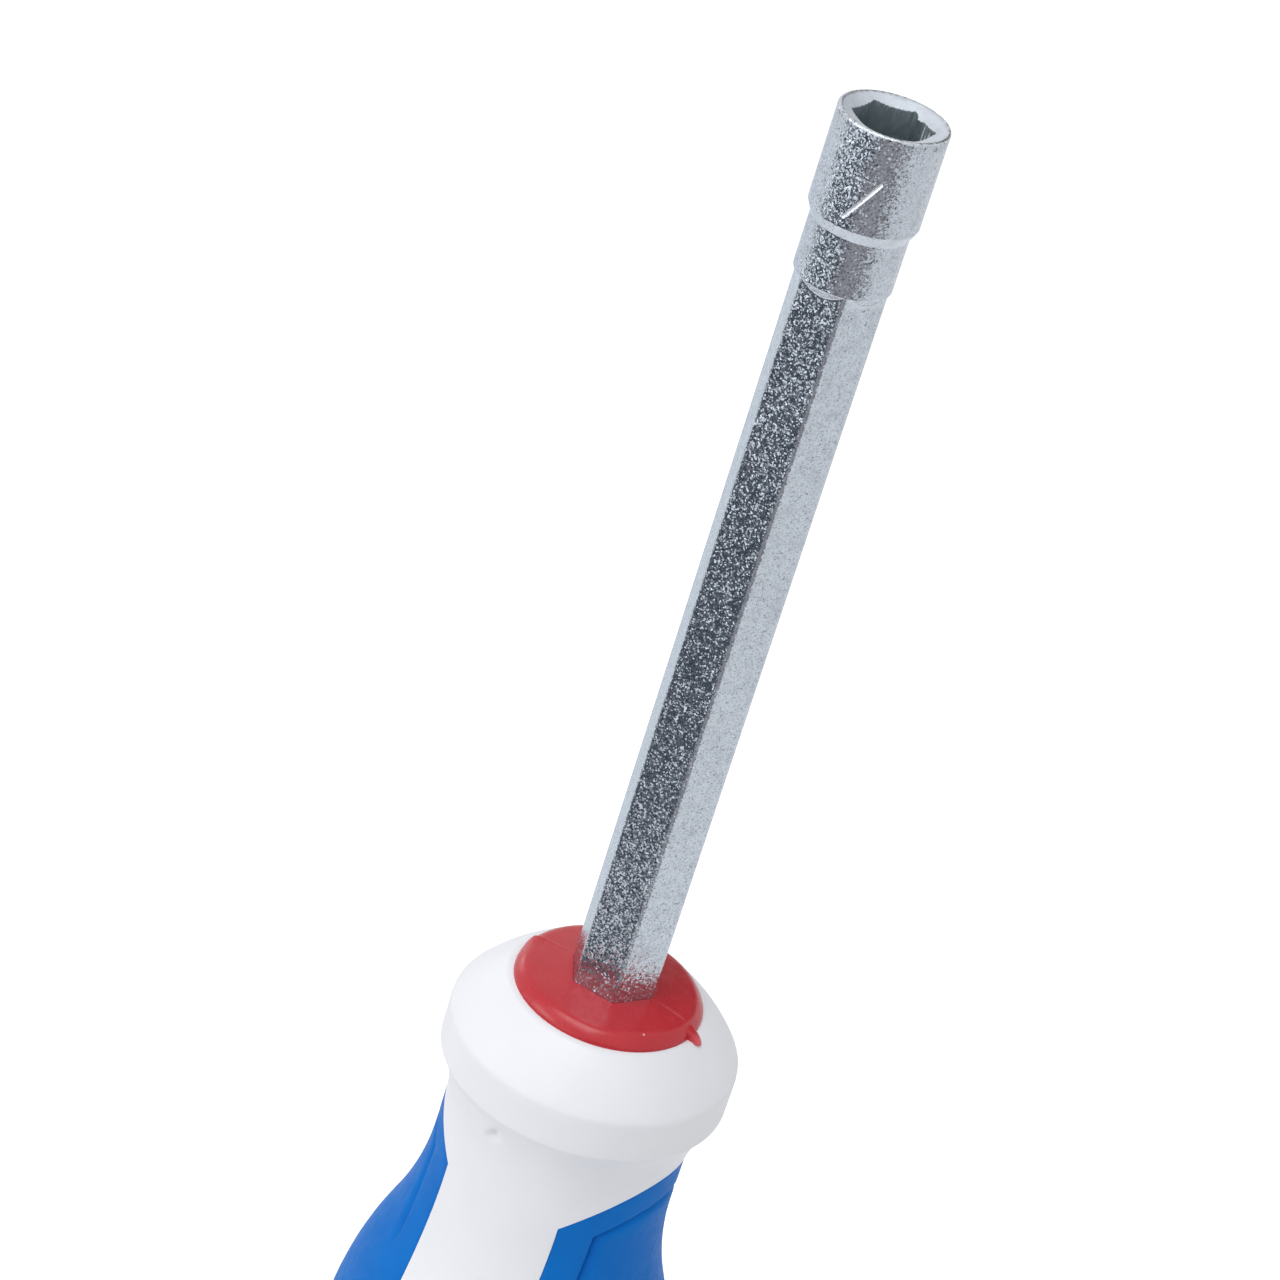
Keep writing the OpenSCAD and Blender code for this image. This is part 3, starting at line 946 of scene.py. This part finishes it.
# Facets lean less downwards, because there they mirror the red collar
FACET_DOWN_SHARE = 0.62
PIT = 0.0002
PATCH = 0.0009
RUST = (0.22, 0.14, 0.08, 1)
RUST_FROM = (0.186, 0.196)
RUST_TO = (0.211, 0.200)
RIM_STAIN = (0.115, 0.10, 0.10, 1)
RIM_STAIN_FROM = (0.2107, 0.2114)
RED = (0.49, 0.013, 0.023, 1)
RED_PALE = (0.51, 0.019, 0.030, 1)
# Paler red painted on the thin stub as light shining through it
RED_PAINTED_BACKLIT = (0.70, 0.10, 0.13, 1)
STUB_TIP = (0.0115, 0, 0.1108)
STUB_PALE_R = 0.0017
STUB_PALE_FULL = 0.3
FLECK = (0.85, 0.62, 0.64, 1)
FLECK_PLACE = (0.00709, -0.00554, 0.11262)
FLECK_R = 0.00017
FLECK_FULL = 0.6
WHITE = (0.86, 0.872, 0.915, 1)
WHITE_COOL = (0.84, 0.856, 0.905, 1)
WHITE_DEPTH = (0.0014, 0.0012, 0.0011)
BLUE = (0.0, 0.152, 0.565, 1)
BLUE_PALE = (0.0, 0.168, 0.595, 1)


def facet_normal(g, grain):
    """The normal tilted from one small facet to the next, most where the grain is strong."""
    facets = g.node("ShaderNodeTexVoronoi", {"Vector": g.place(), "Scale": 1 / FACET}).outputs["Color"]
    tilt = g.vector("SUBTRACT", g.vector("ADD", facets, facets), (1, 1, 1))
    square = g.vector("MULTIPLY", tilt, tilt)
    growth = g.vector("MULTIPLY", g.vector("MULTIPLY", square, square), (FACET_TILT_FAR,) * 3)
    tilt = g.vector("MULTIPLY", tilt, g.vector("ADD", growth, (FACET_TILT,) * 3))
    tilt = g.vector("MAXIMUM", tilt, g.vector("MULTIPLY", tilt, (1, 1, FACET_DOWN_SHARE)))
    patches = g.spread(g.noise(PATCH), low=0.35, high=0.65, to_low=0.75, to_high=1.2)
    tilt = g.scaled(tilt, g.math("MULTIPLY", grain, patches))
    normal = g.node("ShaderNodeNewGeometry").outputs["Normal"]
    return g.vector("NORMALIZE", g.vector("ADD", normal, tilt))


def steel_wear(g, colour, grain):
    """The steel's colour with pits, with rust specks round the neck and with stains at the rim."""
    pits = g.spread(g.noise(PIT, roughness=0.6), low=0.50, high=0.66)
    colour = g.mix(g.math("MULTIPLY", pits, grain), colour, STEEL_PIT)
    height = g.node("ShaderNodeSeparateXYZ", {"Vector": g.place()}).outputs["Z"]
    near_neck = g.math("MULTIPLY", g.spread(height, *RUST_FROM), g.spread(height, *RUST_TO))
    specks = g.spread(g.noise(size=0.0007, roughness=0.7), low=0.68, high=0.74)
    colour = g.mix(g.math("MULTIPLY", specks, near_neck), colour, RUST)
    at_rim = g.math("MULTIPLY", g.spread(height, *RIM_STAIN_FROM), g.spread(grain, low=0.35, high=0.7))
    stains = g.spread(g.noise(size=0.00036, roughness=0.7), low=0.57, high=0.66)
    return g.mix(g.math("MULTIPLY", stains, at_rim), colour, RIM_STAIN)


def plated_steel():
    """Bright plating over a coarse blasted surface: small tilted facets, wear, stains, rust specks, and a
    near-white highlight painted on the mark, rim, cones, mouth and burr slivers.
    """
    g = Graph("plated_steel")
    grain, painted_shine, mouth, recess = (
        g.node("ShaderNodeAttribute", attribute_name=name).outputs["Fac"]
        for name in ("grain", "painted_shine", "mouth", "recess")
    )
    dull = g.spread(g.noise(size=0.0012, detail=4.0, roughness=0.6), low=0.45, high=0.7)
    colour = steel_wear(g, g.mix(dull, STEEL, STEEL_DULL), grain)
    colour = g.mix(recess, colour, STEEL_DEEP)
    # A near-white highlight painted in patches over the mark, rim, cones, mouth and burr slivers
    shine_patches = g.spread(g.noise(PIT), low=0.38, high=0.6, to_low=0.6)
    colour = g.mix(g.math("MULTIPLY", painted_shine, shine_patches), colour, STEEL_PAINTED_HIGHLIGHT)
    rough = g.uneven(0.0004, *STEEL_ROUGH)
    for share, added in ((painted_shine, PAINTED_SHINE_ROUGH), (mouth, MOUTH_ROUGH), (recess, RECESS_ROUGH)):
        rough = g.math("ADD", rough, g.math("MULTIPLY", share, added))
    g.set(Base_Color=colour, Metallic=1.0, Roughness=rough, Normal=facet_normal(g, grain))
    return g.material


def red_plastic():
    """Satin moulded plastic with a faint mottle, painted paler in the thin stub as light shining through
    it, and with one light fleck.
    """
    g = Graph("red_plastic")
    mottle = g.spread(g.noise(size=0.004, detail=4.0, roughness=0.6), low=0.4, high=0.65)
    fleck = g.spread(g.distance(FLECK_PLACE), low=FLECK_R, high=FLECK_FULL * FLECK_R)
    # Paler red painted towards the stub's tip, standing in for light shining through the thin plastic
    thin = g.spread(g.distance(STUB_TIP), low=STUB_PALE_R, high=STUB_PALE_FULL * STUB_PALE_R)
    colour = g.mix(thin, g.mix(mottle, RED, RED_PALE), RED_PAINTED_BACKLIT)
    g.set(Base_Color=g.mix(fleck, colour, FLECK), IOR=1.5, Specular_IOR_Level=0.48)
    g.set(Roughness=g.uneven(size=0.0015, least=0.2, most=0.32))
    g.set(Normal=g.bump(g.noise(size=0.0012), strength=0.03, distance=0.00004))
    return g.material


def white_plastic():
    """Moulded plastic with a soft satin skin and a slightly milky depth."""
    g = Graph("white_plastic")
    mottle = g.spread(g.noise(size=0.006, detail=3.0), low=0.35, high=0.7)
    g.set(Base_Color=g.mix(mottle, WHITE, WHITE_COOL), IOR=1.47)
    g.set(Roughness=g.uneven(size=0.002, least=0.40, most=0.52))
    g.set(Normal=g.bump(g.noise(size=0.00035, detail=3.0), strength=0.10, distance=0.00003))
    g.set(Subsurface_Weight=0.12, Subsurface_Radius=WHITE_DEPTH)
    return g.material


def blue_rubber():
    """Soft matt grip rubber with a fine grain."""
    g = Graph("blue_rubber")
    mottle = g.spread(g.noise(size=0.005, detail=4.0, roughness=0.6), low=0.4, high=0.65)
    grain = g.noise(size=0.00022, detail=4.0, roughness=0.6)
    g.set(Base_Color=g.mix(mottle, BLUE, BLUE_PALE), IOR=1.45, Specular_IOR_Level=0.12)
    g.set(Roughness=g.uneven(size=0.0012, least=0.46, most=0.60))
    g.set(Normal=g.bump(grain, strength=0.25, distance=0.00004))
    return g.material


# Stage, in metres: a white floor, white surroundings, lamps, and cards that only glossy rays find

FLOOR_HALF = 4.0
FLOOR_Z = -0.0001
FLOOR_COLOUR = (0.90, 0.90, 0.90, 1)
FLOOR_GLOW = 0.26
FLOOR_VIEW_GLOW = 0.20
AMBIENT = 0.595
CARD_NEAR = 0.158
CARD_MIDDLE = 0.55
CARD_FAR = 0.80
CARD_TOP = 0.33
CARD_COLUMNS = 60
DARK_CARD_SPAN = (-178, -2)
PALE_CARD_SPAN = (92, 168)
# Angle round the part in degrees and the card's colour there
CARD_COLOURS = (
    (-172, (0.9, 0.9, 0.9)),
    (-148, (0.070, 0.086, 0.115)),
    (-90, (0.074, 0.086, 0.108)),
    (-78, (0.38, 0.355, 0.365)),
    (-46, (0.52, 0.49, 0.51)),
    (-41, (0.15, 0.14, 0.145)),
    (-34, (0.17, 0.16, 0.165)),
    (-5, (0.9, 0.9, 0.9)),
    (80, (0.84, 0.90, 0.96)),
)
CARD_WALL_TURNS = (-86, -72, -46, -36)
CARD_REACH_TURNS = (-92, -82, -36, -28)
BRIGHT_CARD_R = 0.9
BRIGHT_CARD_SPAN = (-165, -94)
BRIGHT_CARD_HEIGHTS = (0.04, 0.36)
BRIGHT_CARD_COLUMNS = 30
BRIGHT_CARD_COLOUR = (0.93, 0.97, 1, 1)
BRIGHT_CARD_GLOW = 1.6
GREY_CARD_MIDDLE = Vector((0.05, 0.655, 0.57))
GREY_CARD_HALF = 0.28
GREY_CARD_COLOUR = (0.22, 0.22, 0.22, 1)
SQUARE = ((-1, -1), (1, -1), (1, 1), (-1, 1))
LAMP_AIM = Vector((0, 0, 0.11))
# Name, place, width, height and power in watts of each lamp
LAMPS = (
    ("high_front", (-0.085, -0.383, 0.867), 0.6, 0.4, 2.56),
    ("rim", (-0.765, 0.34, 0.24), 0.2, 0.12, 0.22),
    ("low_left", (-0.561, -0.561, 0.416), 0.4, 0.25, 1.02),
)


def seen_directly(tree):
    """One for rays that show the surroundings: from the camera, by a mirror or through glass."""
    path = tree.nodes.new("ShaderNodeLightPath")
    total = path.outputs["Is Camera Ray"]
    for name in ("Is Glossy Ray", "Is Transmission Ray"):
        joined = tree.nodes.new("ShaderNodeMath")
        joined.operation = "MAXIMUM"
        tree.links.new(total, joined.inputs[0])
        tree.links.new(path.outputs[name], joined.inputs[1])
        total = joined.outputs[0]
    return total


def stage_mesh(name, points, faces, material):
    """A mesh of the stage, which isn't part of the object."""
    mesh = bpy.data.meshes.new(name)
    mesh.from_pydata(points, [], faces)
    mesh.materials.append(material)
    made = bpy.data.objects.new(name, mesh)
    bpy.context.scene.collection.objects.link(made)
    return made


def make_card(name, points, faces, material):
    """A card that only glossy rays find."""
    card = stage_mesh(name, points, faces, material)
    for kind in ("camera", "diffuse", "transmission", "volume_scatter", "shadow"):
        setattr(card, "visible_" + kind, False)


def make_floor():
    """The pale floor, lifted to white where it is looked at."""
    g = Graph("pale_floor")
    g.set(Base_Color=FLOOR_COLOUR, Roughness=0.9, Specular_IOR_Level=0.0)
    in_view = g.node("ShaderNodeLightPath").outputs["Is Camera Ray"]
    strength = g.math("MULTIPLY", seen_directly(g.tree), FLOOR_GLOW)
    strength = g.math("ADD", strength, g.math("MULTIPLY", in_view, FLOOR_VIEW_GLOW))
    glow = g.node("ShaderNodeEmission", {"Color": (1, 1, 1, 1), "Strength": strength})
    g.show(g.node("ShaderNodeAddShader", {0: g.shader.outputs[0], 1: glow.outputs[0]}))
    corners = [(i * FLOOR_HALF, j * FLOOR_HALF, FLOOR_Z) for i, j in SQUARE]
    stage_mesh("floor", corners, [(0, 1, 2, 3)], g.material)


def make_round_cards():
    """Cards that lie round the part: a dark one in front that rises on the right, a pale one behind."""
    g = Graph("dark_card")
    turn = g.node("ShaderNodeTexGradient", {"Vector": g.place()}, gradient_type="RADIAL")
    ramp = g.node("ShaderNodeValToRGB", {"Fac": turn.outputs["Fac"]})
    elements = ramp.color_ramp.elements
    while len(elements) < len(CARD_COLOURS):
        elements.new(0.5)
    for element, (degrees, _) in zip(elements, CARD_COLOURS):
        element.position = degrees / 360 + 0.5
    for element, (_, colour) in zip(elements, CARD_COLOURS):
        element.color = (*colour, 1)
    g.show(g.node("ShaderNodeEmission", {"Color": ramp.outputs["Color"]}))
    for name, span in (("dark_card", DARK_CARD_SPAN), ("pale_card", PALE_CARD_SPAN)):
        turns = np.linspace(*span, CARD_COLUMNS)
        tops = np.interp(turns, CARD_WALL_TURNS, (0, CARD_TOP, CARD_TOP, 0))
        reaches = np.interp(turns, CARD_REACH_TURNS, (CARD_MIDDLE, CARD_FAR, CARD_FAR, CARD_MIDDLE))
        rows = ring_points(np.radians(turns), np.stack([CARD_NEAR + 0 * reaches, reaches, reaches]), 0.0)
        rows[2, :, 2] = tops
        faces = ring_faces(len(rows), len(turns), wrap=False)
        make_card(name, rows.reshape(-1, 3).tolist(), faces, g.material)


def make_bright_card():
    """A bright upright card beyond the dark one, which gives the steel its sparkles."""
    g = Graph("bright_card")
    g.show(g.node("ShaderNodeEmission", {"Color": BRIGHT_CARD_COLOUR, "Strength": BRIGHT_CARD_GLOW}))
    turns = np.radians(np.linspace(*BRIGHT_CARD_SPAN, BRIGHT_CARD_COLUMNS))
    rows = ring_points(turns, BRIGHT_CARD_R, np.array(BRIGHT_CARD_HEIGHTS)[:, None])
    faces = ring_faces(len(rows), len(turns), wrap=False)
    make_card("bright_card", rows.reshape(-1, 3).tolist(), faces, g.material)


def make_grey_card():
    """A grey card behind the object, which the collar's top mirrors."""
    g = Graph("grey_card")
    g.show(g.node("ShaderNodeEmission", {"Color": GREY_CARD_COLOUR}))
    ahead = (Vector((0, 0, COLLAR_TOP_Z * MM)) - GREY_CARD_MIDDLE).normalized()
    across = ahead.cross(Vector((0, 0, 1))).normalized() * GREY_CARD_HALF
    up = across.cross(ahead).normalized() * GREY_CARD_HALF
    corners = [GREY_CARD_MIDDLE + i * across + j * up for i, j in SQUARE]
    make_card("grey_card", corners, [(0, 1, 2, 3)], g.material)


def make_world():
    """White surroundings that light the object less than they show."""
    world = bpy.data.worlds.new("white_room")
    bpy.context.scene.world = world
    world.use_nodes = True
    tree = world.node_tree
    back = tree.nodes["Background"]
    back.inputs["Color"].default_value = (1, 1, 1, 1)
    strength = tree.nodes.new("ShaderNodeMapRange")
    strength.inputs["To Min"].default_value = AMBIENT
    strength.inputs["To Max"].default_value = 1.0
    tree.links.new(seen_directly(tree), strength.inputs["Value"])
    tree.links.new(strength.outputs["Result"], back.inputs["Strength"])


def soft_box(name, place, width, height, power):
    """A soft light of that width and height at a place, turned to the part."""
    lamp = bpy.data.lights.new(name, "AREA")
    lamp.shape = "RECTANGLE"
    lamp.size = width
    lamp.size_y = height
    lamp.energy = power
    made = bpy.data.objects.new(name, lamp)
    bpy.context.scene.collection.objects.link(made)
    made.location = place
    made.visible_camera = False
    made.rotation_mode = "QUATERNION"
    made.rotation_quaternion = (LAMP_AIM - Vector(place)).to_track_quat("-Z", "Y")


# Camera, from the photograph's perspective

CAMERA_PLACE = Vector((119.4456, -331.7729, 355.4653)) * MM
CAMERA_AIM = Vector((-7.2928, -2.6256, 151.6715)) * MM
CAMERA_ROLL = 0.306
FOCAL_LENGTH = 117.198
SENSOR = 36
CLIP_START = 0.01
CLIP_END = 20


def make_camera():
    """A camera at its place, turned to its aim and rolled."""
    data = bpy.data.cameras.new("camera")
    data.sensor_width = SENSOR
    data.lens = FOCAL_LENGTH
    data.clip_start = CLIP_START
    data.clip_end = CLIP_END
    ahead = (CAMERA_AIM - CAMERA_PLACE).normalized()
    level = ahead.cross(Vector((0, 0, 1))).normalized()
    upright = level.cross(ahead)
    right = level * math.cos(CAMERA_ROLL) + upright * math.sin(CAMERA_ROLL)
    up = upright * math.cos(CAMERA_ROLL) - level * math.sin(CAMERA_ROLL)
    camera = bpy.data.objects.new("camera", data)
    bpy.context.scene.collection.objects.link(camera)
    turn = Matrix((right, up, -ahead)).transposed().to_4x4()
    camera.matrix_world = Matrix.Translation(CAMERA_PLACE) @ turn
    bpy.context.scene.camera = camera


make_camera()
make_world()
make_floor()
make_round_cards()
make_bright_card()
make_grey_card()
for lamp_values in LAMPS:
    soft_box(*lamp_values)

make_blade(plated_steel())
make_core(red_plastic())
make_body(white_plastic())
rubber = blue_rubber()
make_pad("pad_right", RIGHT_PAD, rubber, "grip_pad_right")
make_pad("pad_left", LEFT_PAD, rubber, "grip_pad_left")

bpy.context.scene.view_settings.view_transform = "Standard"
